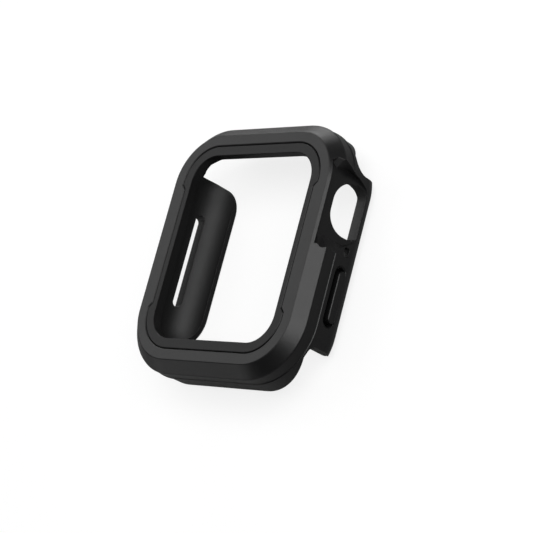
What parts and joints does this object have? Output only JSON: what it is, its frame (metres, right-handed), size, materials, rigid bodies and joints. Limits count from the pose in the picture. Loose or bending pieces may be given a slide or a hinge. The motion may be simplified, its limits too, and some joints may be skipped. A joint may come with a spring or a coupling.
{
  "type": "smartwatch bumper case",
  "caption": "Black bumper case for a rounded rectangular smartwatch, with an inset bezel rim, curled heel lips, a crown opening and a sliding side button.",
  "frame": {"origin": "centre of the bounding box's bottom face, on the plane of the heel lips", "axes": "+Z out of the display, +X to the crown side, +Y to twelve o'clock"},
  "size_m": [0.0436, 0.0496, 0.0125],
  "materials": {
    "frame_plastic": "fine matt moulded black",
    "rim_plastic": "fine matt moulded black, a little darker",
    "button_plastic": "smooth matt moulded black"
  },
  "bodies": {
    "frame": {"bumper_frame": "frame_plastic", "bezel_rim": "rim_plastic"},
    "button": {"side_button": "button_plastic"}
  },
  "joints": [
    {"name": "button_slide", "type": "slide", "parent": "frame", "child": "button", "axis": [-1, 0, 0], "range_m": [0, 0.0004], "stiffness_N_per_m": 1500}
  ]
}
